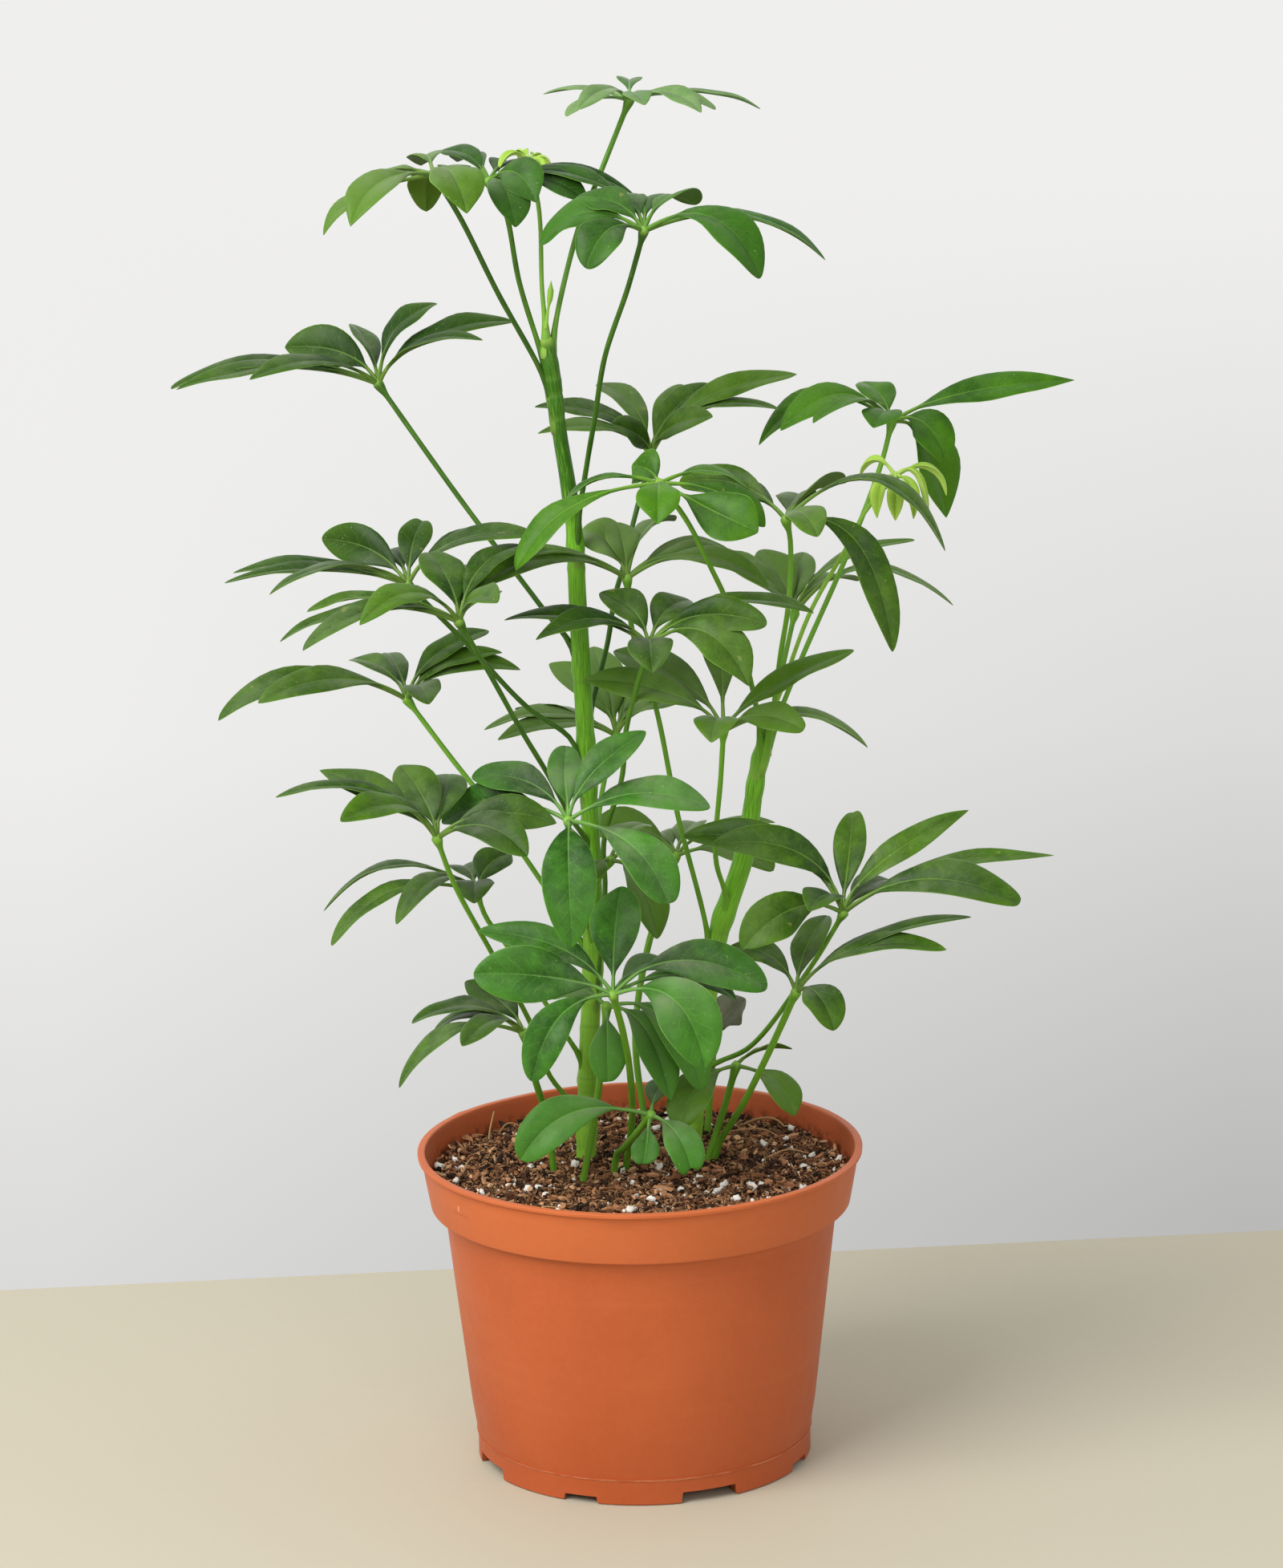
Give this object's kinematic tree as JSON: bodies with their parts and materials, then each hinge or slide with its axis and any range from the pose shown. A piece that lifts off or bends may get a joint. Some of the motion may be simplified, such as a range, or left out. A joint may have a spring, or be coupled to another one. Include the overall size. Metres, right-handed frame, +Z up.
{
  "type": "potted plant",
  "caption": "Potted umbrella plant: green stems bearing fans of long arched leaflets on slender stalks, in a round tapered plastic nursery pot of potting mix.",
  "frame": {"origin": "centre of the pot's underside, on the plane it rests on", "axes": "+Z up, -Y towards the front that the plant is seen from, +X to the right of that view"},
  "size_m": [0.312, 0.1865, 0.4809],
  "materials": {
    "pot": "satin",
    "mix": "matte",
    "stem": "satin",
    "leaf": "satin",
    "leaf_fresh": "satin",
    "shoot": "satin",
    "leaf_dried": "matte"
  },
  "bodies": {
    "root": {"pot": "pot", "potting_mix": "mix", "stem_main": "stem", "stem_second": "stem", "leaf_top": "leaf", "leaf_crown_left": "leaf_fresh", "leaf_crown_back": "leaf_fresh", "shoot_crown": "shoot", "leaf_crown_right": "leaf", "leaf_high_left": "leaf", "leaf_left_upper": "leaf", "leaf_left_inner": "leaf", "leaf_left_middle": "leaf", "leaf_middle_front": "leaf", "leaf_middle_low": "leaf", "leaf_behind_main": "leaf", "leaf_centre_front": "leaf", "leaf_back_middle": "leaf", "leaf_fresh_front": "leaf_fresh", "leaf_right_front": "leaf", "leaf_right_top": "leaf_fresh", "shoot_second": "shoot", "leaf_right_back": "leaf", "leaf_back_right": "leaf", "leaf_low_left": "leaf", "leaf_low_left_back": "leaf", "leaf_low_front": "leaf", "leaf_low_centre": "leaf", "leaf_basal_front": "leaf", "leaf_low_right": "leaf", "leaf_basal_right": "leaf", "leaf_right_low": "leaf", "leaf_basal_left": "leaf", "leaf_centre_back": "leaf", "leaf_far_back": "leaf", "leaf_dried": "leaf_dried"}
  },
  "joints": []
}
